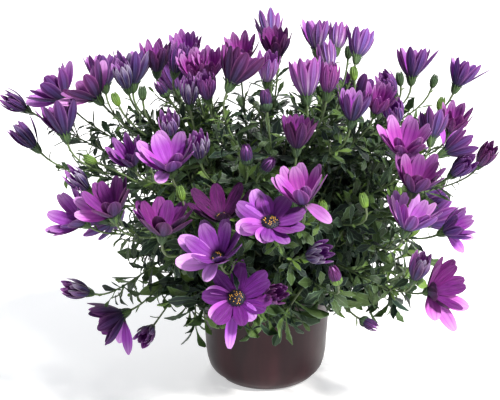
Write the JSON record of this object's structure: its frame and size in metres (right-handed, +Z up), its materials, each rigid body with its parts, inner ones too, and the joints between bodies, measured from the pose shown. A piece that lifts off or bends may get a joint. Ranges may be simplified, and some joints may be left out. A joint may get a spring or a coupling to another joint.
{
  "type": "potted osteospermum",
  "caption": "Bushy potted osteospermum: a dome of purple daisies, most half shut, over toothed green leaves in a dark round nursery pot.",
  "frame": {"origin": "middle of the flat base of the pot, on the surface it stands on", "axes": "+Z up along the pot's axis, -Y towards the plant's best side, +X to the right seen from there"},
  "size_m": [0.4677, 0.393, 0.3717],
  "materials": {
    "pot_plastic": "dark red-brown, slightly glossy thin plastic",
    "peat": "dark crumbly moist peat",
    "foliage": "matte to satin green leaves and stalks",
    "petals": "silky magenta-purple petals, violet-grey and striped on their backs"
  },
  "bodies": {
    "root": {"bloom_01": "petals", "bloom_02": "petals", "bloom_03": "petals", "bloom_06": "petals", "bloom_16": "petals", "bloom_18": "petals", "bloom_19": "petals", "bloom_25": "petals", "bloom_29": "petals", "bloom_30": "petals", "bloom_31": "petals", "bloom_36": "petals", "bloom_37": "petals", "bloom_39": "petals", "bloom_42": "petals", "bloom_43": "petals", "bloom_44": "petals", "bloom_45": "petals", "bloom_46": "petals", "bloom_48": "petals", "bloom_50": "petals", "bloom_53": "petals", "bloom_54": "petals", "bloom_57": "petals", "bloom_58": "petals", "bloom_62": "petals", "bloom_64": "petals", "bloom_65": "petals", "bloom_66": "petals", "blooms_04_05": "petals", "blooms_07_08_09_11": "petals", "blooms_10_12_13": "petals", "blooms_14_17": "petals", "blooms_15_20": "petals", "blooms_22_26": "petals", "blooms_23_24_27": "petals", "blooms_32_33_34": "petals", "blooms_35_41": "petals", "blooms_38_40": "petals", "blooms_47_49": "petals", "blooms_51_52": "petals", "blooms_55_56": "petals", "blooms_60_61": "petals", "blooms_71_72_73": "petals", "blooms_74_75_76": "petals", "blooms_77_78_79": "petals", "blooms_80_81_82": "petals", "blooms_83_84_85": "petals", "blooms_86_87_88": "petals", "blooms_89_90_91": "petals", "leafy_stem_1": "foliage", "leafy_stem_2": "foliage", "leafy_stem_3": "foliage", "leafy_stem_4": "foliage", "leafy_stem_5": "foliage", "leafy_stem_6": "foliage", "pot": "pot_plastic", "soil": "peat"}
  },
  "joints": []
}
